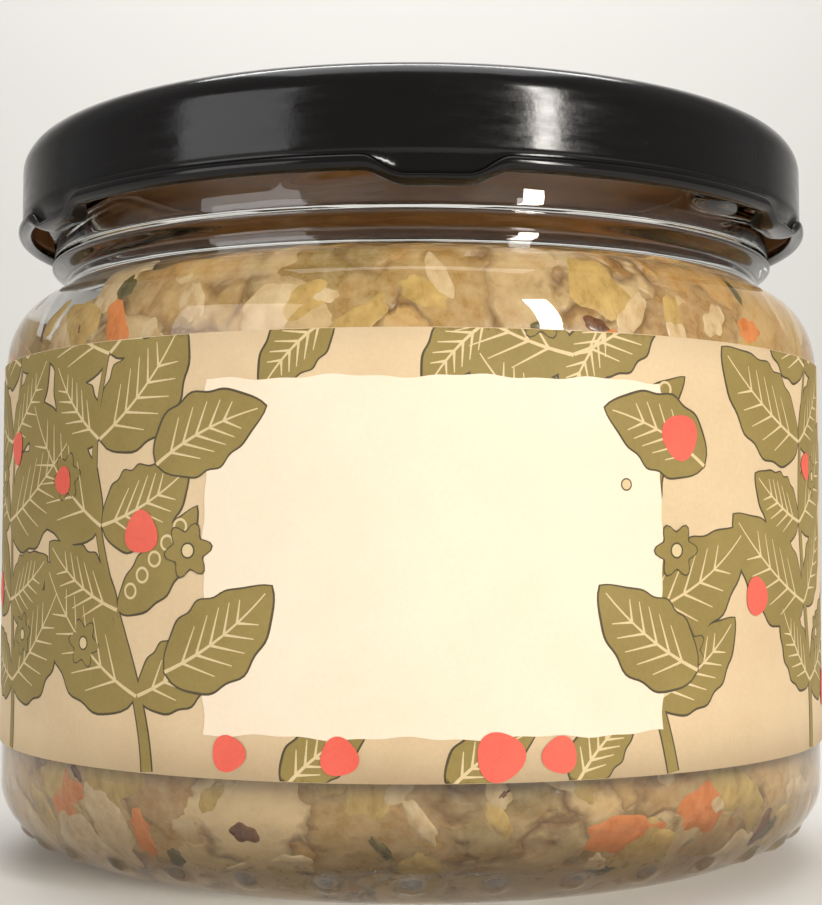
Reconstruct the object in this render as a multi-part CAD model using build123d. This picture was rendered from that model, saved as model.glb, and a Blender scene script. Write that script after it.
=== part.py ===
from build123d import *
import math
import os

# A squat glass jar of chopped pickled cabbage with a twist-off metal cap and a wrap-round
# paper label. Millimetres. The jar stands on Z = 0 with its axis on Z. The middle of the
# label faces -Y, and azimuths are counted from there towards +X.

# Glass body
body_radius = 44.0
wall = 2.4
heel_inset = 12.8  # how far the foot stands inside the body
heel_height = 8.0
foot_width = 2.2  # flat ring that the jar stands on
push_up_height = 2.0  # hollow under the base
push_up_shoulder = 6.0  # width of the slope between the foot and the flat of the push-up
push_up_steepness = 0.6  # slope where the push-up meets the foot
floor_thickness = 3.6
floor_corner_radius = 6.0
shoulder_start = 50.9  # top of the straight body
shoulder_rise = 8.0
shoulder_tuck = 0.8  # the shoulder's ellipse is centred this far inside the neck's recess
shoulder_angle = 75.0  # how far round its quarter ellipse the shoulder runs, in degrees

# Neck and screw finish
finish_radius = 39.2
finish_wall = 2.9
recess_depth = 1.4  # inside the finish wall
recess_land = 0.5  # straight length of the recess above its fillet
bead_proud = 0.3  # outside the finish wall
bead_height = 2.2
jar_height = 74.6
rim_round = 0.9
bore_shoulder_rise = 9.0  # height over which the bore widens into the body

# Thread: short inclined ridges, each of which holds one lug of the cap
start_count = 6
thread_ridge = 1.15  # radius of the ridge's round section, which stands on the finish wall
thread_span = 44.0  # degrees
thread_lead = 5.0  # slope, degrees
thread_clearance = 0.15  # between a ridge and the lug below it

# Grip dots moulded on the heel
dot_count = 36
dot_radius = 1.5
dot_height = 0.35  # how far a dot stands proud
dot_angle = 38.0  # place on the heel's quarter ellipse, degrees above the foot's corner

# Metal cap
cap_reach = 3.8  # from the finish wall to the outside of the rolled edge
cap_sheet = 0.3
cap_skirt_inset = 0.4  # the skirt stands this far inside the rolled edge
cap_skirt_depth = 9.9
cap_shoulder_round = 3.2
cap_panel_depth = 1.0  # the panel lies this far below the sealing ring's top
cap_panel_slope = 1.0  # width of the slope between the panel and the ring
cap_ring_gap = 0.4  # between the glass bore and the panel's slope
curl_radius = 0.75

# Lugs pressed in from the cap's rolled edge
lug_azimuth = 3.0
lug_length = 10.5  # along the edge
lug_thickness = 1.0
lug_drop = 1.0  # how far a lug reaches below the rolled edge
lug_gap = 0.5  # between a lug's tip and the finish wall

# Paper label
label_bottom = 12.25
label_height = 38.5
label_thickness = 0.2
label_seam_gap = 4.0  # between the label's ends, at the back

# Contents
fill_level = 58.4  # mean height of the top
fill_waviness = 1.1  # height of the waves in the top
fill_coarse_wave = 42.0  # from crest to crest
fill_fine_wave = 26.0
fill_fine_share = 0.6
fill_wave_phase = 0.4
fill_gap = 0.05  # between the contents and the glass
hollow_depth = 6.5  # a space that the cabbage leaves free under the shoulder
hollow_azimuth = -58.0
hollow_radius = 13.0

# Worked out
finish_bore = finish_radius - finish_wall
recess_radius = finish_radius - recess_depth
bead_radius = finish_radius + bead_proud
shoulder_centre = recess_radius - shoulder_tuck
shoulder_width = body_radius - shoulder_centre
cap_radius = finish_radius + cap_reach
cap_top = jar_height + cap_sheet
curl_centre_radius = cap_radius - curl_radius
curl_centre_height = cap_top - cap_skirt_depth - cap_sheet + curl_radius
lug_top = curl_centre_height - curl_radius - lug_drop + lug_thickness
lug_tip_radius = finish_radius + lug_gap


def half_section(lines):
    """A closed face in the XZ plane from connected curves, X being the radius."""
    return Plane.XZ * make_face(Sketch() + lines)


def turned(lines):
    """The solid of revolution of a closed half section."""
    return revolve(half_section(lines), Axis.Z)


def at_azimuth(shape, azimuth):
    """A shape built in the XZ plane, at radius X, turned to an azimuth counted from -Y."""
    return Rot(0, 0, azimuth - 90) * shape


def bore_lines(gap, top):
    """Outline of the space inside the jar, kept a gap away from the glass, up to a height."""
    floor = push_up_height + floor_thickness + gap
    side = body_radius - wall - gap
    neck = finish_bore - gap
    waist = shoulder_start + bore_shoulder_rise
    corner = floor_corner_radius
    return [
        Line((0, floor), (side - corner, floor)),
        CenterArc((side - corner, floor + corner), corner, -90, 90),
        Line((side, floor + corner), (side, shoulder_start - wall)),
        Spline((side, shoulder_start - wall), (neck, waist), tangents=[(0, 1), (0, 1)]),
        Line((neck, waist), (neck, top)),
        Line((neck, top), (0, top)),
        Line((0, top), (0, floor)),
    ]


def glass_lines():
    """Outline of the glass from outside: foot, heel, body, shoulder, neck and finish."""
    foot = body_radius - heel_inset
    push_up_edge = foot - foot_width
    turn = math.radians(shoulder_angle)
    shoulder_end = (
        shoulder_centre + shoulder_width * math.cos(turn),
        shoulder_start + shoulder_rise * math.sin(turn),
    )
    heading = math.degrees(math.atan2(shoulder_rise * math.cos(turn), -shoulder_width * math.sin(turn)))
    fillet = (shoulder_end[0] - recess_radius) / (1 - math.sin(math.radians(heading)))
    recess_start = shoulder_end[1] - fillet * math.cos(math.radians(heading))
    bead_bottom = recess_start + recess_land
    bead_top = bead_bottom + bead_height
    return [
        Line((0, push_up_height), (push_up_edge - push_up_shoulder, push_up_height)),
        Spline(
            (push_up_edge - push_up_shoulder, push_up_height),
            (push_up_edge, 0),
            tangents=[(1, 0), (1, -push_up_steepness)],
        ),
        Line((push_up_edge, 0), (foot, 0)),
        EllipticalCenterArc((foot, heel_height), heel_inset, heel_height, 270, arc_size=90),
        Line((body_radius, heel_height), (body_radius, shoulder_start)),
        EllipticalCenterArc(
            (shoulder_centre, shoulder_start), shoulder_width, shoulder_rise, 0, arc_size=shoulder_angle
        ),
        CenterArc((recess_radius + fillet, recess_start), fillet, 90 + heading, 90 - heading),
        Line((recess_radius, recess_start), (recess_radius, bead_bottom)),
        ThreePointArc(
            (recess_radius, bead_bottom),
            (bead_radius, (bead_bottom + bead_top) / 2),
            (finish_radius, bead_top),
        ),
        Line((finish_radius, bead_top), (finish_radius, jar_height - rim_round)),
        CenterArc((finish_radius - rim_round, jar_height - rim_round), rim_round, 0, 90),
        Line((finish_radius - rim_round, jar_height), (0, jar_height)),
        Line((0, jar_height), (0, push_up_height)),
    ]


def thread_ridges():
    """Ridges on the finish wall, each sloping down over the lug that it holds."""
    ahead = thread_span / 2 - math.degrees(lug_length / finish_radius)
    drop = finish_radius * math.sin(math.radians(ahead + math.degrees(lug_length / 2 / finish_radius)))
    height = lug_top + thread_clearance + thread_ridge + drop * math.sin(math.radians(thread_lead))
    section = Plane.XZ * Pos(finish_radius, 0) * Circle(thread_ridge)
    ridge = revolve(Rot(0, 0, -thread_span / 2) * section, Axis.Z, thread_span)
    sloped = Pos(0, 0, height) * Rot(thread_lead, 0, 0) * ridge
    return [at_azimuth(sloped, lug_azimuth + ahead + 360 * i / start_count) for i in range(start_count)]


def heel_dots():
    """Low round dots along the heel, evenly spaced."""
    angle = math.radians(dot_angle)
    radius = body_radius - heel_inset + heel_inset * math.cos(angle)
    height = heel_height - heel_height * math.sin(angle)
    normal = Vector(math.cos(angle) / heel_inset, 0, -math.sin(angle) / heel_height).normalized()
    centre = Vector(radius, 0, height) + normal * (dot_height - dot_radius)
    dot = Pos(centre) * Rot(0, 180, 0) * Rot(90, 0, 0) * Sphere(dot_radius)
    return [at_azimuth(dot, 360 * (i + 0.5) / dot_count) for i in range(dot_count)]


def jar():
    """The glass: body, neck, thread ridges and heel dots."""
    above_rim = jar_height + wall
    bore = turned(bore_lines(0, above_rim))
    rounded_mouth = turned(
        [
            Line((finish_bore, jar_height - rim_round), (finish_bore + rim_round, jar_height)),
            Line((finish_bore + rim_round, jar_height), (0, jar_height)),
            Line((0, jar_height), (0, jar_height - rim_round)),
            Line((0, jar_height - rim_round), (finish_bore, jar_height - rim_round)),
        ]
    )
    solid = turned(glass_lines()) + thread_ridges() + heel_dots()
    return solid - bore - rounded_mouth


def cap_lines(inset):
    """Outline of the cap, moved in by a distance from its outer face, down to its curl."""
    ring_start = finish_bore - cap_ring_gap - cap_sheet
    slope_start = ring_start - cap_panel_slope
    ring_top = cap_top - inset
    skirt = cap_radius - cap_skirt_inset - inset
    shoulder = cap_shoulder_round - inset
    slope = cap_panel_depth / cap_panel_slope
    # a sloping face moved square to itself by the inset shifts this far along the flat
    shift = inset * (math.sqrt(1 + slope**2) - 1) / slope
    return [
        Line((0, ring_top - cap_panel_depth), (slope_start + shift, ring_top - cap_panel_depth)),
        Line((slope_start + shift, ring_top - cap_panel_depth), (ring_start + shift, ring_top)),
        Line((ring_start + shift, ring_top), (skirt - shoulder, ring_top)),
        CenterArc((skirt - shoulder, ring_top - shoulder), shoulder, 0, 90),
        Line((skirt, ring_top - shoulder), (skirt, curl_centre_height)),
        Line((skirt, curl_centre_height), (0, curl_centre_height)),
        Line((0, curl_centre_height), (0, ring_top - cap_panel_depth)),
    ]


def lugs():
    """Flat tongues that reach in from the rolled edge to below the thread ridges."""
    span = math.degrees(lug_length / cap_radius)
    bottom = lug_top - lug_thickness
    section = half_section(
        [
            Line((lug_tip_radius, bottom), (curl_centre_radius - curl_radius / 2, bottom)),
            Line((curl_centre_radius - curl_radius / 2, bottom), (curl_centre_radius, curl_centre_height)),
            Line((curl_centre_radius, curl_centre_height), (lug_tip_radius, lug_top)),
            Line((lug_tip_radius, lug_top), (lug_tip_radius, bottom)),
        ]
    )
    lug = revolve(Rot(0, 0, -span / 2) * section, Axis.Z, span)
    return [at_azimuth(lug, lug_azimuth + 360 * i / start_count) for i in range(start_count)]


def cap():
    """The pressed metal cap: panel, sealing ring, skirt, rolled edge and lugs."""
    curl = Torus(curl_centre_radius, curl_radius)
    shell = turned(cap_lines(0)) - turned(cap_lines(cap_sheet))
    return shell + Pos(0, 0, curl_centre_height) * curl + lugs()


def label():
    """The paper round the straight body, open by a gap at the back."""
    outside = body_radius + label_thickness
    ring = Cylinder(outside, label_height) - Cylinder(body_radius, label_height)
    gap = Pos(0, body_radius, 0) * Box(label_seam_gap, body_radius, label_height)
    return Pos(0, 0, label_bottom + label_height / 2) * (ring - gap)


def surface_height(x, y):
    """Height of the cabbage's top: gentle waves, and a hollow near the wall on one side."""
    azimuth = math.radians(hollow_azimuth)
    reach = body_radius - wall
    away = math.hypot(x - reach * math.sin(azimuth), y + reach * math.cos(azimuth))
    coarse = math.tau / fill_coarse_wave
    fine = math.tau / fill_fine_wave
    waves = math.cos(coarse * x + fill_wave_phase) * math.cos(coarse * y)
    waves = (waves + fill_fine_share * math.cos(fine * (x - y))) / (1 + fill_fine_share)
    hollow = hollow_depth * math.exp(-((away / hollow_radius) ** 2))
    return fill_level + fill_waviness * waves - hollow


def contents():
    """Chopped cabbage and brine as one piece, up to its uneven top."""
    reach = body_radius + wall
    steps = 24
    marks = [reach * (2 * i / steps - 1) for i in range(steps + 1)]
    top = Face.make_surface_from_array_of_points(
        [[Vector(x, y, surface_height(x, y)) for y in marks] for x in marks]
    )
    above = extrude(top, jar_height, dir=(0, 0, 1))
    return turned(bore_lines(fill_gap, jar_height)) - above


PIECES = {
    "glass_jar": jar,
    "metal_cap": cap,
    "paper_label": label,
    "cabbage_fill": contents,
}

os.makedirs("parts", exist_ok=True)
for name, build in PIECES.items():
    export_step(build(), f"parts/{name}.step")
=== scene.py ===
import math
import bpy
import numpy as np
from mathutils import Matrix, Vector


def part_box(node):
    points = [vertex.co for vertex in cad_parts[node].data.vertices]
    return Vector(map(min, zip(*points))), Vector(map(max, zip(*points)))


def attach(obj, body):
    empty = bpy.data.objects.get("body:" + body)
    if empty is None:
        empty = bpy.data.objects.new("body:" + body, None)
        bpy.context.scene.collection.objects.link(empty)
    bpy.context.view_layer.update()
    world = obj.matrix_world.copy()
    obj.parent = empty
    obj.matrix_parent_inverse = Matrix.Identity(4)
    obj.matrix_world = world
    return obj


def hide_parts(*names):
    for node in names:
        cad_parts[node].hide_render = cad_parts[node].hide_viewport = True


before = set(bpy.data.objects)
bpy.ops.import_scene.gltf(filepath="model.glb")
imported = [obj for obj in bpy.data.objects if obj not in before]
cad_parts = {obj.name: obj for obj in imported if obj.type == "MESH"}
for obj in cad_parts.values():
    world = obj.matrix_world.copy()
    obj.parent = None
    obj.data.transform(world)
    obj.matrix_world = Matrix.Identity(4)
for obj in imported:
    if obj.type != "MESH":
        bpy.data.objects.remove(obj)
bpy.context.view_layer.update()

MM = 0.001
TURN = 2 * math.pi
JAR, CAP, LABEL, FILL = "glass_jar", "metal_cap", "paper_label", "cabbage_fill"

# Sizes in millimetres, read from the frame
body_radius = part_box(JAR)[1].x / MM
jar_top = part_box(JAR)[1].z / MM
cap_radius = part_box(CAP)[1].x / MM
cap_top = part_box(CAP)[1].z / MM
label_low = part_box(LABEL)[0].z / MM
label_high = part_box(LABEL)[1].z / MM
label_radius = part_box(LABEL)[1].x / MM
fill_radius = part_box(FILL)[1].x / MM


# ---------------------------------------------------------------- meshes

def smooth_step(value):
    """0 below 0, 1 above 1 and 3v2 - 2v3 between."""
    value = np.clip(value, 0, 1)
    return value * value * (3 - 2 * value)


def grid_faces(rows, columns, wrap_rows=False, wrap_columns=False):
    """Quads of a grid of points, row by row, closed round on itself where asked."""
    row = np.arange(rows if wrap_rows else rows - 1)[:, None]
    column = np.arange(columns if wrap_columns else columns - 1)[None, :]
    next_row = (row + 1) % rows
    next_column = (column + 1) % columns
    corners = (row * columns + column, row * columns + next_column,
               next_row * columns + next_column, next_row * columns + column)
    return np.stack(np.broadcast_arrays(*corners), -1).reshape(-1, 4)


def add_piece(name, points, faces, finish, slot, replaces=()):
    """A smooth-shaded mesh object from points in millimetres, riding on the jar."""
    mesh = bpy.data.meshes.new(name)
    faces = faces if isinstance(faces, list) else faces.tolist()
    mesh.from_pydata((np.asarray(points, float).reshape(-1, 3) * MM).tolist(), [], faces)
    mesh.polygons.foreach_set("use_smooth", np.ones(len(mesh.polygons), bool))
    mesh.materials.append(finish.material)
    mesh.update()
    piece = bpy.data.objects.new(name, mesh)
    bpy.context.scene.collection.objects.link(piece)
    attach(piece, "root")
    if replaces:
        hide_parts(*replaces)
    return piece


def polar(radius, azimuth, height):
    """Points at a radius and height, with the azimuth in radians from -Y towards +X."""
    radius, azimuth, height = np.broadcast_arrays(radius, azimuth, height)
    return np.stack([radius * np.sin(azimuth), -radius * np.cos(azimuth), height], -1)


def arc_points(centre, radii, start, end, count):
    """Points on an ellipse arc in the half section, angles in degrees from outward."""
    angle = np.radians(np.linspace(start, end, count))
    return np.stack([centre[0] + radii[0] * np.cos(angle), centre[1] + radii[1] * np.sin(angle)], -1)


def line_points(start, end, count):
    """Evenly spaced points from start to end, the end itself left out."""
    return np.linspace(start, end, count, endpoint=False)


def revolved(profile, columns):
    """A half section of (radius, height) rows carried round the axis; gives azimuths too."""
    azimuth = np.arange(columns) * TURN / columns
    return profile[:, 0][:, None], azimuth[None, :], profile[:, 1][:, None]


def joined(parts):
    """Points and faces of several (points, faces) pairs as one."""
    offset, points, faces = 0, [], []
    for part_points, part_faces in parts:
        part_points = np.asarray(part_points).reshape(-1, 3)
        points.append(part_points)
        faces.append(np.asarray(part_faces) + offset)
        offset += len(part_points)
    return np.concatenate(points), np.concatenate(faces)


# ---------------------------------------------------------------- shader trees

class Value:
    """One output of a shader tree, so that sums are written as Python expressions."""

    def __init__(self, finish, socket):
        self.finish, self.socket = finish, socket

    def sum(self, operation, first, second):
        """The Math node of an operation on two values or numbers."""
        return self.finish.node("ShaderNodeMath", {"operation": operation}, {0: first, 1: second})

    def __add__(self, other):
        return self.sum("ADD", self, other)

    def __sub__(self, other):
        return self.sum("SUBTRACT", self, other)

    def __rsub__(self, other):
        return self.sum("SUBTRACT", other, self)

    def __mul__(self, other):
        return self.sum("MULTIPLY", self, other)

    def __truediv__(self, other):
        return self.sum("DIVIDE", self, other)

    def __gt__(self, other):
        return self.sum("GREATER_THAN", self, other)

    __radd__ = __add__
    __rmul__ = __mul__


class Finish:
    """A material with one Principled shader, built up node by node."""

    def __init__(self, name, **sockets):
        self.material = bpy.data.materials.new(name)
        self.material.use_nodes = True
        self.tree = self.material.node_tree
        self.shader = self.tree.nodes["Principled BSDF"]
        self.output = self.tree.nodes["Material Output"]
        self.place = self.node("ShaderNodeTexCoord", output="Object")
        self.set(**sockets)

    def node(self, kind, settings=None, values=None, output=0):
        """Add a node: its settings first, then the values or links of its sockets."""
        node = self.tree.nodes.new(kind)
        for key, value in (settings or {}).items():
            if key == "stops":
                ramp = node.color_ramp
                while len(ramp.elements) < len(value):
                    ramp.elements.new(1.0)
                for element, (position, colour) in zip(ramp.elements, value):
                    element.position, element.color = position, colour
            else:
                setattr(node, key, value)
        for key, value in (values or {}).items():
            if isinstance(value, Value):
                self.tree.links.new(value.socket, node.inputs[key])
            else:
                node.inputs[key].default_value = value
        return Value(self, node.outputs[output])

    def set(self, **sockets):
        """Set or link sockets of the Principled shader, named with _ for a space."""
        for key, value in sockets.items():
            socket = self.shader.inputs[key.replace("_", " ")]
            if isinstance(value, Value):
                self.tree.links.new(value.socket, socket)
            else:
                socket.default_value = value

    def noise(self, scale, detail=3.0, roughness=0.5, place=None):
        """Noise about its own mean of one half; scale in waves to the metre."""
        return self.node("ShaderNodeTexNoise", None, {
            "Vector": place or self.place, "Scale": scale, "Detail": detail,
            "Roughness": roughness}, "Fac")

    def cells(self, scale, feature, output, place):
        """One output of a Voronoi pattern; scale in cells to the metre."""
        return self.node("ShaderNodeTexVoronoi", {"feature": feature},
                         {"Vector": place, "Scale": scale}, output)

    def span(self, value, low, high, start=0.0, end=1.0):
        """value mapped from low..high to start..end and held there."""
        return self.node("ShaderNodeMapRange", None, {
            "Value": value, "From Min": low, "From Max": high, "To Min": start, "To Max": end})

    def mix(self, factor, first, second):
        """A colour between two; sockets 6 and 7 and output 2 are the node's colour ones."""
        return self.node("ShaderNodeMix", {"data_type": "RGBA"},
                         {"Factor": factor, 6: first, 7: second}, 2)

    def bump(self, height, distance, strength):
        """A normal bent by a height of 0 to 1 that stands for a distance in metres."""
        return self.node("ShaderNodeBump", None, {
            "Height": height, "Distance": distance, "Strength": strength}, "Normal")

    def stretched(self, x, y, z):
        """The place with each axis scaled."""
        return self.node("ShaderNodeMapping", None, {"Vector": self.place, "Scale": (x, y, z)})


def colour(red, green, blue):
    """Linear colour of an sRGB one given in 0 to 255."""
    channel = np.array([red, green, blue]) / 255
    linear = np.where(channel <= 0.04045, channel / 12.92, ((channel + 0.055) / 1.055) ** 2.4)
    return (*linear.tolist(), 1.0)


def clear_glass():
    """Flint glass that lets lamp light through, with faint waves from the mould."""
    finish = Finish("clear_glass", Base_Color=(0.985, 0.99, 0.975, 1.0), IOR=1.5,
                    Transmission_Weight=1.0)
    finish.set(Roughness=finish.span(finish.noise(180.0), 0.3, 0.8, 0.0, 0.03))
    finish.set(Normal=finish.bump(finish.noise(60.0, 1.0), 0.00012, 0.35))
    clear = finish.node("ShaderNodeBsdfTransparent", None, {"Color": (0.95, 0.96, 0.94, 1.0)})
    shadow = finish.node("ShaderNodeLightPath", output="Is Shadow Ray")
    both = finish.node("ShaderNodeMixShader", None, {
        0: shadow, 1: Value(finish, finish.shader.outputs[0]), 2: clear})
    finish.tree.links.new(both.socket, finish.output.inputs["Surface"])
    return finish


def cap_lacquer():
    """Gloss black lacquer with orange peel and a few fine scuffs."""
    finish = Finish("black_lacquer", IOR=1.38)
    dust = finish.noise(900.0, 6.0, 0.7) > 0.68
    scuff = finish.noise(220.0, 5.0, 0.65, finish.stretched(1.0, 1.0, 5.0))
    worn = finish.span(scuff, 0.62, 0.75)
    base = finish.mix(worn * 0.3, colour(12, 9, 8), colour(34, 28, 25))
    finish.set(Base_Color=finish.mix(dust * 0.2, base, colour(70, 62, 56)))
    finish.set(Roughness=finish.span(scuff, 0.3, 0.75, 0.1, 0.24))
    finish.set(Normal=finish.bump(finish.noise(1500.0, 2.0), 0.00002, 0.35))
    return finish


def gold_lining():
    """Gold inside lacquer on tinplate."""
    finish = Finish("gold_lacquer", Metallic=0.25, IOR=1.5)
    streak = finish.noise(300.0, 4.0, 0.6, finish.stretched(1.0, 1.0, 0.3))
    tone = finish.span(streak, 0.3, 0.7)
    finish.set(Base_Color=finish.mix(tone, colour(176, 122, 66), colour(214, 160, 98)))
    finish.set(Roughness=finish.span(streak, 0.3, 0.7, 0.28, 0.45))
    return finish


def paper(name, dark, light):
    """Printed paper: soft blotches of ink, fine fibres, and a slight tooth."""
    roughness, blotch = 0.62, 0.6
    finish = Finish(name, IOR=1.45)
    cloud = finish.span(finish.noise(120.0, 4.0, 0.6), 0.3, 0.7)
    fibre = finish.noise(2600.0, 3.0, 0.7)
    tone = cloud * blotch + finish.span(fibre, 0.3, 0.7) * (1 - blotch)
    finish.set(Base_Color=finish.mix(tone, dark, light))
    finish.set(Roughness=finish.span(fibre, 0.3, 0.7, roughness - 0.06, roughness + 0.08))
    finish.set(Normal=finish.bump(fibre, 0.00003, 0.4))
    return finish


def pickled_cabbage():
    """Wet chopped cabbage seen against glass: pale leaf and rib pieces, specks, and soft dark gaps between
    pieces that are brown brine with painted shade of the crevices between them.
    """
    finish = Finish("cabbage", IOR=1.38, Coat_Weight=0.3, Coat_Roughness=0.15,
                    Subsurface_Weight=0.15, Subsurface_Scale=0.004)
    warp = finish.node("ShaderNodeTexNoise", None,
                       {"Vector": finish.place, "Scale": 110.0, "Detail": 4.0}, "Color")
    shift = finish.node("ShaderNodeVectorMath", {"operation": "SCALE"}, {0: warp, "Scale": 0.02})
    place = finish.node("ShaderNodeVectorMath", {"operation": "ADD"}, {0: finish.place, 1: shift})
    pieces_per_metre = 120.0
    piece = finish.cells(pieces_per_metre, "F1", "Color", place)
    to_edge = finish.cells(pieces_per_metre, "DISTANCE_TO_EDGE", "Distance", place)
    edge = finish.span(to_edge, 0.0, 0.14)
    broken = finish.span(finish.noise(140.0, 3.0, 0.5), 0.42, 0.62)
    # Darker along the pieces' edges: brown brine between them, plus painted shade that stands in for the
    # shadowed crevices between pieces.
    gap = 1 - (1 - edge) * broken
    pick = finish.node("ShaderNodeSeparateColor", None, {"Color": piece}, 0)
    fine = finish.noise(600.0, 5.0, 0.65)
    leaf = finish.node("ShaderNodeValToRGB", {"stops": [
        (0.0, colour(170, 130, 78)), (0.3, colour(204, 164, 104)), (0.55, colour(160, 126, 66)),
        (0.75, colour(216, 186, 138)), (1.0, colour(194, 146, 76))]}, {0: pick})
    cloud = finish.span(finish.noise(90.0, 4.0, 0.6), 0.35, 0.7)
    clouded = finish.mix(cloud * 0.55, leaf, colour(142, 110, 64))
    green = finish.span(finish.noise(70.0, 3.0, 0.5), 0.62, 0.72)
    tinted = finish.mix(green * 0.6, clouded, colour(106, 94, 44))
    veined = finish.mix(finish.span(fine, 0.4, 0.75) * 0.5, tinted, colour(214, 190, 146))
    # The gap colour is brine brown and painted crevice shade at once.
    finish.set(Base_Color=finish.mix(gap, colour(122, 90, 50), veined))
    finish.set(Roughness=finish.span(fine, 0.3, 0.7, 0.22, 0.42))
    finish.set(Normal=finish.bump(gap + fine * 0.5, 0.0005, 0.5))
    return finish


def vegetable(name, dark, light):
    """A wet cut vegetable with streaks between two tones."""
    finish = Finish(name, IOR=1.38, Coat_Weight=0.4, Coat_Roughness=0.1, Subsurface_Weight=0.1,
                    Subsurface_Scale=0.003)
    streak = finish.noise(700.0, 4.0, 0.6, finish.stretched(1.0, 1.0, 0.5))
    finish.set(Base_Color=finish.mix(finish.span(streak, 0.3, 0.7), dark, light))
    finish.set(Roughness=finish.span(streak, 0.3, 0.7, 0.22, 0.4))
    finish.set(Normal=finish.bump(streak, 0.0003, 0.5))
    return finish


# ---------------------------------------------------------------- glass

wall = 2.4
heel_inset, heel_height = 12.8, 8.0
foot_width, push_up, push_up_run = 2.2, 2.0, 6.0
shoulder_start, shoulder_rise, shoulder_angle = 50.9, 8.0, 75.0
finish_radius, finish_bore = 39.2, 36.3
recess_radius, recess_land = 37.8, 0.5
shoulder_tuck = 0.8  # the shoulder's ellipse is centred this far inside the recess
recess_rise, recess_fillet = 1.37, 1.44
bead_radius, bead_height = 39.5, 2.2
rim_round = 0.9
floor_height, floor_corner = 5.6, 6.0
bore_waist = shoulder_start + 9.0
lug_count, lug_azimuth = 6, 3.0
thread_height, thread_rise = 65.0, 0.062  # at a ridge's start, and per degree along it
thread_before, thread_after, thread_fade = 22, 38, 9  # degrees before and past a lug
thread_half, thread_proud, thread_floor = 0.8, 1.15, 61.8
dot_spacing, dot_height, dot_ring = 10.0, 3.1, 41.3  # degrees, and where the dots sit
dot_half, dot_proud, dot_inmost = 0.95, 0.4, 34
inside_rows = 70  # rows of the section that lie on the rim's inner half and the bore


def bore_section(gap, top, count):
    """Half section of the inside from the floor's middle up to a height."""
    side, neck = body_radius - wall - gap, finish_bore - gap
    floor = floor_height + gap
    rise = np.linspace(0, 1, count)
    start = shoulder_start - wall
    curve = np.stack([side + (neck - side) * smooth_step(rise ** 1.25),
                      start + (bore_waist - start) * rise], -1)
    return np.concatenate([
        line_points((0.0, floor), (side - floor_corner, floor), 10),
        arc_points((side - floor_corner, floor + floor_corner), (floor_corner,) * 2, -90, 0, 14)[:-1],
        line_points((side, floor + floor_corner), (side, start), 14),
        curve[:-1],
        line_points((neck, bore_waist), (neck, top), 12)])


def glass_section():
    """Half section of the glass from the middle of its base, up the outside and down inside."""
    foot = body_radius - heel_inset
    edge = foot - foot_width
    run = np.linspace(0, 1, 10, endpoint=False)
    hollow = np.stack([edge - push_up_run + push_up_run * run, push_up * (1 - smooth_step(run))], -1)
    centre = recess_radius - shoulder_tuck
    shoulder = (centre, shoulder_start), (body_radius - centre, shoulder_rise)
    end = arc_points(*shoulder, shoulder_angle, shoulder_angle, 1)[0]
    recess_low = end[1] + recess_rise
    bead_low = recess_low + recess_land
    bead_top = bead_low + bead_height
    bead = np.linspace(0, 1, 14, endpoint=False)
    proud = np.stack([recess_radius + (finish_radius - recess_radius) * smooth_step(bead * 1.6)
                      + (bead_radius - finish_radius) * np.sin(math.pi * bead) ** 2,
                      bead_low + bead_height * bead], -1)
    fillet = arc_points((recess_radius + recess_fillet, recess_low), (recess_fillet,) * 2, 253, 180, 9)[:-1]
    return np.concatenate([
        line_points((0.0, push_up), (edge - push_up_run, push_up), 8),
        hollow,
        line_points((edge, 0.0), (foot, 0.0), 4),
        arc_points((foot, heel_height), (heel_inset, heel_height), 270, 360, 40)[:-1],
        line_points((body_radius, heel_height), (body_radius, shoulder_start), 14),
        arc_points(*shoulder, 0, shoulder_angle, 24)[:-1],
        fillet,
        line_points((recess_radius, recess_low), (recess_radius, bead_low), 3),
        proud,
        line_points((finish_radius, bead_top), (finish_radius, jar_top - rim_round), 46),
        arc_points((finish_radius - rim_round, jar_top - rim_round), (rim_round,) * 2, 0, 90, 8),
        arc_points((finish_bore + rim_round, jar_top - rim_round), (rim_round,) * 2, 90, 180, 8)[:-1],
        bore_section(0.0, jar_top - rim_round, 16)[::-1]])


def glass_piece(finish):
    """The glass revolved, with thread ridges and heel dots raised on its outside.

    A ridge is a bell across its sloping centre line, fading at both ends; a dot is a bell of the
    distance from its centre along the heel.
    """
    profile = glass_section()
    columns = 384
    radius, azimuth, height = revolved(profile, columns)
    degrees = np.degrees(azimuth)
    outside = (np.arange(len(profile)) < len(profile) - inside_rows)[:, None]
    ridge = np.zeros(np.broadcast_shapes(radius.shape, azimuth.shape))
    for index in range(lug_count):
        along = (degrees - lug_azimuth - 360 // lug_count * index + 180) % 360 - 180
        centre = thread_height + thread_rise * (along + thread_before)
        across = np.exp(-((height - centre) / thread_half) ** 2)
        fade = (smooth_step((along + thread_before) / thread_fade)
                * smooth_step((thread_after - along) / thread_fade))
        ridge = np.maximum(ridge, across * fade)
    radius = radius + thread_proud * ridge * ((height > thread_floor) & outside)
    around = (degrees + dot_spacing / 2) % dot_spacing - dot_spacing / 2
    along_heel = 1.25  # the heel's slope lengthens a height by this much
    reach = np.hypot(np.radians(around) * dot_ring, (height - dot_height) * along_heel)
    on_heel = outside & (height < heel_height) & (radius > dot_inmost)
    dot = dot_proud * np.exp(-(reach / dot_half) ** 4) * on_heel
    outward, downward = 0.62, 0.78  # the heel's normal at the dots
    points = polar(radius + dot * outward, azimuth, height - dot * downward)
    rows = len(profile)
    points[0] = points[0].mean(0)
    points[-1] = points[-1].mean(0)
    points, faces = closed_poles(points, rows, columns)
    return add_piece("jar_glass", points, faces, finish, "clear_glass", [JAR])


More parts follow.
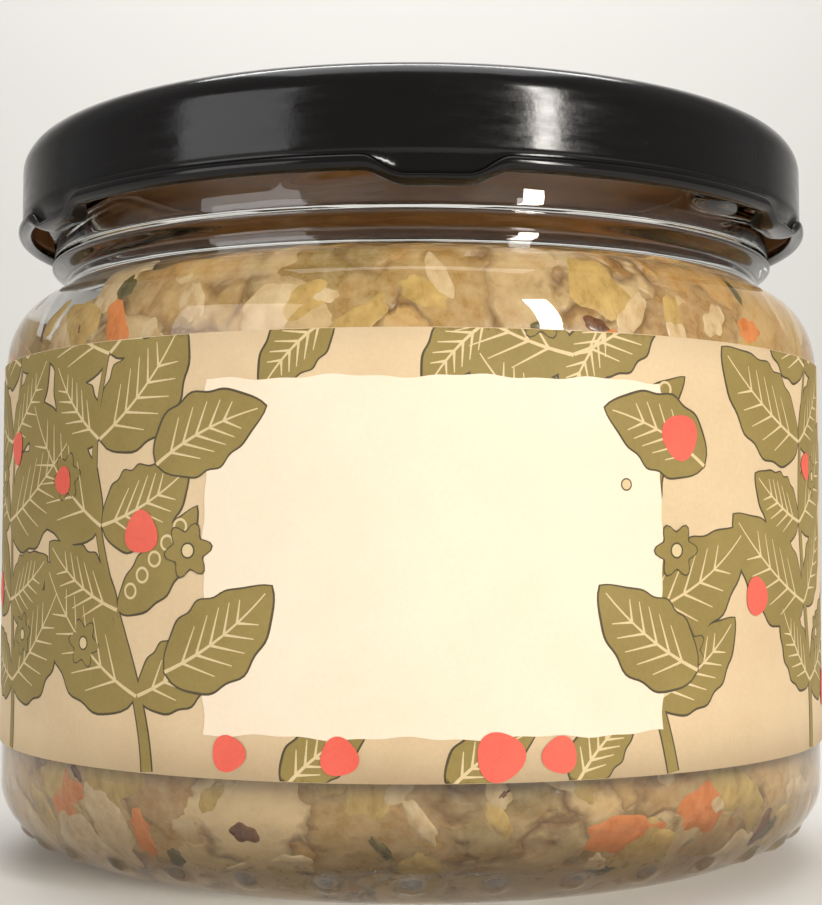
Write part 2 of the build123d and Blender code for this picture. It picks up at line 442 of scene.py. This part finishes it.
def closed_poles(points, rows, columns):
    """A revolved grid whose first and last rows become one point each, joined by triangles."""
    inner = points[1:-1].reshape(-1, 3)
    faces = grid_faces(rows - 2, columns, wrap_columns=True).tolist()
    around = np.arange(columns)
    after = (around + 1) % columns
    base = (rows - 3) * columns
    first, last = len(inner), len(inner) + 1
    faces += np.stack([np.full(columns, first), after, around], -1).tolist()
    faces += np.stack([np.full(columns, last), base + around, base + after], -1).tolist()
    return np.concatenate([inner, points[:1, 0], points[-1:, 0]]), faces


# ---------------------------------------------------------------- cap

curl = 0.75
curl_height = cap_top - 10.2 + curl
cap_shoulder_round = 3.2
panel_drop = 1.0  # of the cap's middle below its sealing ring, reached over as long a run


def cap_section(inset):
    """Half section of the cap's sheet from its middle to the skirt's lower end, moved in."""
    ring = finish_bore - 0.7 + inset * 0.41
    slope = ring - panel_drop
    skirt = cap_radius - 0.4 - inset
    top, turn = cap_top - inset, cap_shoulder_round - inset
    run = np.linspace(0, 1, 12, endpoint=False)
    step = np.stack([slope + run * panel_drop, top - panel_drop + panel_drop * smooth_step(run)], -1)
    return np.concatenate([
        line_points((0.0, top - panel_drop), (slope, top - panel_drop), 14), step,
        line_points((ring, top), (skirt - turn, top), 6),
        arc_points((skirt - turn, top - turn), (turn, turn), 90, 0, 12)[:-1],
        line_points((skirt, top - turn), (skirt, curl_height + 0.5), 12)])


def lug_mask(azimuth, length=9.5, soft=3.8):
    """1 along each lug and 0 between them, with soft ends, by the distance along the edge."""
    pitch = TURN / lug_count
    around = (azimuth - math.radians(lug_azimuth) + pitch / 2) % pitch - pitch / 2
    return smooth_step((length / 2 + soft / 2 - np.abs(around) * cap_radius) / soft)


def cap_shell(name, finish, slot, outer, inner, curled, replaces=()):
    """A closed sheet between two insets, whose lower edge rolls over the curl.

    Along a lug the curl's section slides inward, widens and drops.
    """
    columns = 480
    azimuth = (np.arange(columns) * TURN / columns)[None, :]
    lug = lug_mask(azimuth)
    outside, inside = cap_section(outer), cap_section(inner)[::-1]
    turn = np.radians(np.linspace(75, -255, 26))[:, None]
    reach, tall = curl + 0.72 * lug, curl - 0.22 * lug
    roll_radius = cap_radius - curl - 1.12 * lug + reach * np.cos(turn)
    roll_height = curl_height - 1.3 * lug + tall * np.sin(turn)
    spread = np.ones((1, columns))
    rolled = ([roll_radius], [roll_height]) if curled else ([], [])
    radius, height = (
        np.concatenate([outside[:, [part]] * spread, *rolled[part], inside[:, [part]] * spread])
        for part in (0, 1))
    points, faces = closed_poles(polar(radius, azimuth, height)[::-1], len(radius), columns)
    return add_piece(name, points, faces, finish, slot, replaces)


# ---------------------------------------------------------------- label and its print

panel_centre, panel_half = math.radians(3.0) * label_radius, 20.8
panel_middle, panel_tall = (label_low + label_high) / 2 - 0.2, 30.6
label_gap = 4.0
edge_margin = 0.05  # print stays this far inside the paper's edges


def on_label(along, height, lift):
    """Points of the label: along its width from the front, up it, and lifted off the paper."""
    radius = label_radius + lift
    return polar(radius, along / label_radius, height)


def within_paper(height):
    """Heights held inside the paper's upper and lower edges."""
    return np.clip(height, label_low + edge_margin, label_high - edge_margin)


def leaf_parts(root, angle, length, width, bend, lift, lobes=0, grow=0.0):
    """A leaf as a grid: along its midrib, which bends evenly, and across to each edge.

    The half width is width sin(pi s^0.8), waved by lobes; grow widens it all round.
    """
    s = np.linspace(0, 1, 33)[:, None]
    across = np.linspace(-1, 1, 9)[None, :]
    reach = length + 2 * grow
    heading = angle + bend * (s - 0.5)
    step = reach / 32
    x = np.cumsum(np.cos(heading) * step, 0) - np.cos(angle) * (step + grow)
    y = np.cumsum(np.sin(heading) * step, 0) - np.sin(angle) * (step + grow)
    half = width / 2 * np.sin(math.pi * s ** 0.8) ** 0.75
    if lobes:
        half = half * (1 + 0.06 * np.cos(TURN * lobes * s) * np.sin(math.pi * s))
    half = half + grow * np.minimum(1, 6 * s * (1 - s) + 0.15)
    u = root[0] + x - np.sin(heading) * half * across
    v = root[1] + y + np.cos(heading) * half * across
    return on_label(u, within_paper(v), lift), grid_faces(33, 9)


def vein_parts(root, angle, length, width, bend, lift, thick):
    """The midrib and pairs of side veins of a leaf, as narrow ribbons."""
    s = np.linspace(0, 1, 33)
    heading = angle + bend * (s - 0.5)
    step = length / 32
    x = root[0] + np.cumsum(np.cos(heading) * step) - np.cos(angle) * step
    y = root[1] + np.cumsum(np.sin(heading) * step) - np.sin(angle) * step
    half = width / 2 * np.sin(math.pi * s ** 0.8) ** 0.75
    parts = [ribbon(x[:31], y[:31], thick, lift)]
    for start in range(5, 24, 4):
        for side in (-1, 1):
            run = np.linspace(0, 1, 7)
            out = heading[start] + side * 0.75
            reach = half[min(start + 5, 32)] * 0.78
            parts.append(ribbon(x[start] + np.cos(out) * reach * 1.25 * run,
                                y[start] + np.sin(out) * reach * 1.25 * run, thick * 0.75, lift))
    return parts


def ribbon(x, y, thick, lift):
    """A strip that follows a line on the label and narrows to its far end."""
    along, up = np.gradient(x), np.gradient(y)
    size = np.hypot(along, up) + 1e-9
    taper = thick / 2 * np.linspace(1, 0.35, len(x))
    edge = np.array([-1.0, 1.0])[None, :]
    u = x[:, None] - (up / size * taper)[:, None] * edge
    v = y[:, None] + (along / size * taper)[:, None] * edge
    return on_label(u, within_paper(v), lift), grid_faces(len(x), 2)


def disc_parts(centre, size, lift, lobes=0, depth=0.0, turn=0.0):
    """A flat shape round a centre, its edge waved by a few lobes; rings from the middle out."""
    ring = np.linspace(0.02, 1, 5)[:, None]
    around = (np.arange(40) * TURN / 40)[None, :]
    reach = size * (1 + depth * np.cos(lobes * (around - turn)))
    u = centre[0] + ring * reach * np.cos(around)
    v = centre[1] + ring * reach * np.sin(around)
    return on_label(u, within_paper(v), lift), grid_faces(5, 40, wrap_columns=True)


def stem_line(start, angle, length, wave):
    """Points of a stem that leaves at an angle and swings from side to side."""
    count = 40
    s = np.linspace(0, 1, count)
    heading = angle + wave * np.sin(TURN * s * 0.8)
    step = length / (count - 1)
    return start[0] + np.cumsum(np.cos(heading)) * step, start[1] + np.cumsum(np.sin(heading)) * step


ink_lift = {"line": 0.012, "leaf": 0.022, "vein": 0.032, "panel": 0.042, "front_line": 0.052,
            "front_leaf": 0.062, "front_vein": 0.072, "spot": 0.084}


def label_print(random):
    """Leaves, pods, round flowers and spots spread round the label."""
    ink = {key: [] for key in ("line", "leaf", "vein", "spot")}

    outline, vein_width = 0.17, 0.34

    def add_leaf(root, angle, length, width, bend, lobes, front=False):
        before = "front_" if front else ""
        shape = root, angle, length, width, bend
        ink["line"].append(leaf_parts(*shape, ink_lift[before + "line"], lobes, outline))
        ink["leaf"].append(leaf_parts(*shape, ink_lift[before + "leaf"], lobes))
        ink["vein"].extend(vein_parts(*shape, ink_lift[before + "vein"], vein_width))

    def add_pod(root, angle, length, bend):
        shape = root, angle, length, 4.4, bend
        ink["line"].append(leaf_parts(*shape, ink_lift["line"], 5, outline))
        ink["leaf"].append(leaf_parts(*shape, ink_lift["leaf"], 5))
        for step in np.linspace(0.18, 0.8, 5):
            centre = (root[0] + np.cos(angle) * length * step, root[1] + np.sin(angle) * length * step)
            ink["vein"].append(disc_parts(centre, 0.75, ink_lift["vein"]))
            ink["leaf"].append(disc_parts(centre, 0.52, ink_lift["vein"] + 0.004))

    def add_flower(centre, size, front=False):
        base = ink_lift["front_vein" if front else "vein"]
        turn = random.uniform(0, TURN)
        ink["line"].append(disc_parts(centre, size + 0.15, base, 6, 0.2, turn))
        ink["leaf"].append(disc_parts(centre, size, base + 0.006, 6, 0.22, turn))
        ink["line"].append(disc_parts(centre, size * 0.36, base + 0.012))
        ink["vein"].append(disc_parts(centre, size * 0.28, base + 0.018))

    def add_stem(start, angle, length, wave):
        x, y = stem_line(start, angle, length, wave)
        ink["line"].append(ribbon(x, y, 1.42, ink_lift["line"]))
        ink["leaf"].append(ribbon(x, y, 1.1, ink_lift["leaf"]))

    sprigs, spots, stem_length = 11, 26, 44
    span = TURN * label_radius - label_gap - 6
    for index in range(sprigs):
        along = -span / 2 + span * (index + 0.5) / sprigs
        if abs(along - panel_centre) < panel_half:
            continue
        lean = random.uniform(-0.25, 0.25)
        low = (along, label_low - 1)
        add_stem(low, math.pi / 2 + lean, stem_length, random.uniform(0.2, 0.4))
        x, y = stem_line(low, math.pi / 2 + lean, stem_length, 0.3)
        for step, place in enumerate((6, 13, 20, 27, 34)):
            side = 1 if (step + index) % 2 else -1
            root = (x[place], y[place])
            angle = math.pi / 2 - side * random.uniform(0.75, 1.15)
            if step == (index % 4) + 1:
                add_pod(root, angle, random.uniform(12, 14), side * 0.5)
            else:
                add_leaf(root, angle, random.uniform(14.5, 18.5), random.uniform(8.0, 10.5),
                         side * 0.6, 5)
            add_leaf(root, math.pi / 2 + side * random.uniform(0.6, 1.2), random.uniform(9.5, 13.0),
                     random.uniform(5.6, 7.4), -side * 0.5, 5)
        for place in (10, 24, 37):
            side = random.choice((-1, 1))
            add_flower((x[place] + side * random.uniform(3, 6), y[place]), random.uniform(1.5, 2.1))
    for side in (-1, 1):
        edge = panel_centre + side * panel_half
        lower, upper = (edge + side * 4.0, label_low + 9), (edge + side * 5.0, label_low + 27)
        add_leaf(lower, math.pi / 2 + side * 0.95, 13, 7.4, -side * 0.5, 4, True)
        add_leaf(upper, math.pi / 2 + side * 1.15, 12, 6.8, side * 0.4, 4, True)
        add_flower((edge + side * 1.6, label_low + 19.5), 2.0, True)
    for shift in (-13, 1, 12):
        add_leaf((panel_centre + shift, label_low - 0.5), random.uniform(0.5, 0.9), 9, 4.6, -0.5, 4)
        add_leaf((panel_centre + shift + 4, label_high + 1.0), -random.uniform(0.5, 0.9) - 1.6, 9, 4.8, 0.5, 4)
    for index in range(spots):
        along = -span / 2 + span * (index + random.uniform(0.2, 0.8)) / spots
        up = label_low + random.uniform(3.5, 35)
        beside = abs(along - panel_centre) < panel_half + 1
        if beside and abs(up - panel_middle) < panel_tall / 2 + 1:
            up = random.choice((label_low + 2.2, label_high - 3.2))
        ink["spot"].append(disc_parts((along, up), random.uniform(1.3, 2.2), ink_lift["spot"], 3,
                                      random.uniform(0.03, 0.1), random.uniform(0, TURN)))
    return ink


def panel_parts(lift):
    """The cream panel: a rectangle whose four edges waver slightly."""
    across, up = np.meshgrid(np.linspace(-1, 1, 61), np.linspace(-1, 1, 41))
    rough_x = 0.16 * np.sin(up * 9.1 + 1) + 0.1 * np.sin(up * 23.0)
    rough_y = 0.14 * np.sin(across * 11.3) + 0.08 * np.sin(across * 29.0 + 2)
    u = panel_centre + panel_half * across + rough_x * across
    v = panel_middle + panel_tall / 2 * up + rough_y * up
    return on_label(u, v, lift), grid_faces(41, 61)


def label_ring(finish):
    """The paper as a closed thin wall round the body, open at the back."""
    half = math.pi - label_gap / 2 / body_radius
    rows, back = 361, body_radius + 0.01
    azimuth = np.linspace(-half, half, rows)[:, None]
    section = np.array([(back, label_low), (label_radius, label_low),
                        (label_radius, label_high), (back, label_high)])
    tall = np.linspace(0, 1, 9)[:, None]
    outer = section[1] + (section[2] - section[1]) * tall
    inner = section[3] + (section[0] - section[3]) * tall
    loop = np.concatenate([outer, inner])
    points = polar(loop[None, :, 0], azimuth, loop[None, :, 1])
    columns = len(loop)
    faces = grid_faces(rows, columns, wrap_columns=True).tolist()
    faces += [list(range(columns))[::-1], [(rows - 1) * columns + c for c in range(columns)]]
    return add_piece("label_paper", points, faces, finish, "label_paper", [LABEL])


# ---------------------------------------------------------------- contents

fill_ceiling = 61.0  # no contents above this height


def fill_top(x, y):
    """Height of the cabbage's top: waves, and a hollow under the shoulder on one side."""
    azimuth = math.radians(-58.0)
    reach = body_radius - wall
    away = np.hypot(x - reach * np.sin(azimuth), y + reach * np.cos(azimuth))
    ripple = np.cos(x * 0.15 + 0.4) * np.cos(y * 0.15) + 0.6 * np.cos(0.24 * (x - y))
    lumps = 0.5 * np.cos(x * 0.9 + y * 0.4) * np.cos(y * 0.8 - x * 0.3 + 1.0)
    return 58.0 + 0.7 * ripple + lumps - 6.5 * np.exp(-(away / 13.0) ** 2)


def fill_core(finish):
    """The cabbage out to just inside the glass wall, under its uneven top.

    The bore's section is revolved; points above the top drop onto it.
    """
    columns = 300
    section = bore_section(-0.06, fill_ceiling, 40)
    lid = line_points((section[-1, 0], fill_ceiling), (0.0, fill_ceiling), 60)
    section = np.concatenate([section, lid])
    radius, azimuth, height = revolved(section, columns)
    points = polar(radius, azimuth, height)
    top = fill_top(points[..., 0], points[..., 1])
    points[..., 2] = np.minimum(points[..., 2], top)
    points[0] = points[0].mean(0)
    points[-1] = points[-1].mean(0)
    points, faces = closed_poles(points, len(section), columns)
    return add_piece("cabbage_core", points, faces, finish, "cabbage", [FILL])


def chip_parts(random, azimuth, along, length, width, sink=0.4, turn=None):
    """A lump pressed to the glass: rings round its middle, each point laid on the bore.

    Its edge is waved by a few lobes; its face lies just inside the wall and falls away from it
    with the fourth power of the distance from the middle.
    """
    section = bore_section(-0.14, fill_ceiling, 40)
    run = np.concatenate([[0.0], np.cumsum(np.hypot(*np.diff(section, axis=0).T))])
    ring = np.linspace(0.02, 1, 8)[:, None]
    around = (np.arange(36) * TURN / 36)[None, :]
    edge = 1.0
    for lobes in (2, 3, 5, 7):
        edge = edge + random.uniform(0.03, 0.1) * np.cos(lobes * around + random.uniform(0, TURN))
    turn = random.uniform(0, math.pi) if turn is None else turn
    x, y = ring * edge * length / 2 * np.cos(around), ring * edge * width / 2 * np.sin(around)
    across = x * math.cos(turn) - y * math.sin(turn)
    up = x * math.sin(turn) + y * math.cos(turn)
    radius = np.interp(along + up, run, section[:, 0])
    height = np.interp(along + up, run, section[:, 1])
    points = polar(radius - sink * ring ** 4, azimuth + across / fill_radius, height)
    return points, grid_faces(8, 36, wrap_columns=True)


def chips(random, count, low, high, sizes):
    """Lumps spread round the jar between two distances along the bore's section."""
    parts = []
    for index in range(count):
        azimuth = TURN * (index + random.uniform(0, 1)) / count
        length = random.uniform(*sizes)
        along = random.uniform(low, high)
        parts.append(chip_parts(random, azimuth, along, length, length * random.uniform(0.35, 0.8)))
    return joined(parts)


# ---------------------------------------------------------------- build

glass = clear_glass()
black = cap_lacquer()
gold = gold_lining()
beige = paper("label_paper", colour(214, 186, 146), colour(228, 202, 162))
cream = paper("panel_paper", colour(243, 222, 194), colour(250, 232, 207))
olive = paper("leaf_print", colour(138, 118, 60), colour(158, 138, 78))
pale_line = paper("vein_print", colour(214, 190, 140), colour(228, 206, 160))
dark_line = paper("line_print", colour(72, 62, 40), colour(92, 80, 54))
coral = paper("spot_print", colour(226, 90, 72), colour(242, 110, 90))
cabbage = pickled_cabbage()

glass_piece(glass)
cap_shell("cap_black", black, "black_lacquer", 0.0, 0.2, True, [CAP])
cap_shell("cap_lining", gold, "gold_lacquer", 0.21, 0.26, False)
label_ring(beige)
add_piece("label_panel", *panel_parts(ink_lift["panel"]), cream, "panel_paper")
ink = label_print(np.random.default_rng(7))
for kind, finish, slot in (("line", dark_line, "line_print"), ("leaf", olive, "leaf_print"),
                           ("vein", pale_line, "label_paper"), ("spot", coral, "spot_print")):
    add_piece(f"print_{kind}", *joined(ink[kind]), finish, slot)
fill_core(cabbage)

# Distances along the bore's section from the floor's middle: the heel band, then the shoulder
chip_rows = ((34.0, 48.0), (78.0, 90.0))
# Kind, slot, darkest and lightest colour, how many in each row, and the range of lengths
chip_kinds = (
    ("cabbage_rib", "cabbage", colour(186, 154, 108), colour(216, 190, 148), 46, (4.0, 9.0)),
    ("cabbage_leaf", "cabbage", colour(166, 134, 70), colour(202, 168, 102), 46, (5.0, 12.0)),
    ("carrot", "carrot", colour(196, 110, 48), colour(222, 140, 76), 8, (5.0, 10.0)),
    ("greens", "greens", colour(74, 66, 30), colour(112, 98, 46), 12, (3.0, 7.0)),
    ("pepper_flake", "greens", colour(92, 56, 28), colour(126, 82, 44), 12, (2.0, 4.5)))
# Larger carrot slices: azimuth, distance along the section, length and width
slices = ((27.0, 40.5, 9.0, 4.6), (36.0, 82.5, 9.0, 4.0),
          (24.0, 84.0, 7.0, 3.0), (-48.0, 43.0, 6.0, 3.4))
lay = np.random.default_rng(11)
for kind, slot, dark, light, count, sizes in chip_kinds:
    finish = vegetable(kind, dark, light)
    rows = [chips(lay, count, *reach, sizes) for reach in chip_rows]
    if kind == "carrot":
        rows += [chip_parts(lay, math.radians(azimuth), along, length, width, 0.3, 0.0)
                 for azimuth, along, length, width in slices]
    add_piece(kind, *joined(rows), finish, slot)


# ---------------------------------------------------------------- stage, lights and camera

def stage_plane(name, points, shade):
    """A flat four-sided piece of the set, in metres."""
    mesh = bpy.data.meshes.new(name)
    mesh.from_pydata([tuple(p) for p in points], [], [(0, 1, 2, 3)])
    mesh.materials.append(shade)
    plane = bpy.data.objects.new(name, mesh)
    bpy.context.scene.collection.objects.link(plane)


def soft_lamp(name, place, target, size, power, tint=(1.0, 1.0, 1.0)):
    """A rectangular softbox that faces a point."""
    data = bpy.data.lights.new(name, "AREA")
    data.shape, data.size, data.size_y = "RECTANGLE", size[0], size[1]
    data.energy, data.color = power, tint
    lamp = bpy.data.objects.new(name, data)
    bpy.context.scene.collection.objects.link(lamp)
    lamp.location = place
    direction = np.array(target) - np.array(place)
    lamp.rotation_euler = Vector(direction).to_track_quat("-Z", "Y").to_euler()


pale = Finish("stage_pale", Base_Color=colour(226, 224, 220), Roughness=0.8).material
reach, back = 2, 0.9
stage_plane("floor", [(-reach, -reach, 0), (reach, -reach, 0), (reach, back, 0), (-reach, back, 0)], pale)
stage_plane("backdrop", [(-reach, back, 0), (reach, back, 0), (reach, back, reach),
                         (-reach, back, reach)], pale)

world = bpy.data.worlds.new("studio")
bpy.context.scene.world = world
world.use_nodes = True
sky = world.node_tree.nodes["Background"].inputs
sky["Color"].default_value = (0.9, 0.9, 0.9, 1.0)
sky["Strength"].default_value = 0.34

soft_lamp("key", (0.30, -0.42, 0.26), (0, 0, 0.045), (0.06, 0.28), 2.1, (1.0, 0.96, 0.9))
soft_lamp("fill", (-0.5, -0.45, 0.25), (0, 0, 0.04), (0.4, 0.4), 1.3)
soft_lamp("top", (0.0, 0.1, 0.7), (0, 0, 0.03), (0.5, 0.5), 1.6)
soft_lamp("backdrop_lamp", (0.0, 0.45, 0.9), (0, 0.9, 0.1), (0.8, 0.2), 5.0)

camera_data = bpy.data.cameras.new("camera")
camera = bpy.data.objects.new("camera", camera_data)
bpy.context.scene.collection.objects.link(camera)
bpy.context.scene.camera = camera
camera_data.sensor_width = 36.0
camera_data.lens = 64.283
camera_data.clip_start = 0.01
camera.location = (0.0, -0.1806, 0.0322)
camera.rotation_euler = (math.radians(90 + 3.29), 0.0, 0.0)
bpy.context.scene.view_settings.view_transform = "Standard"
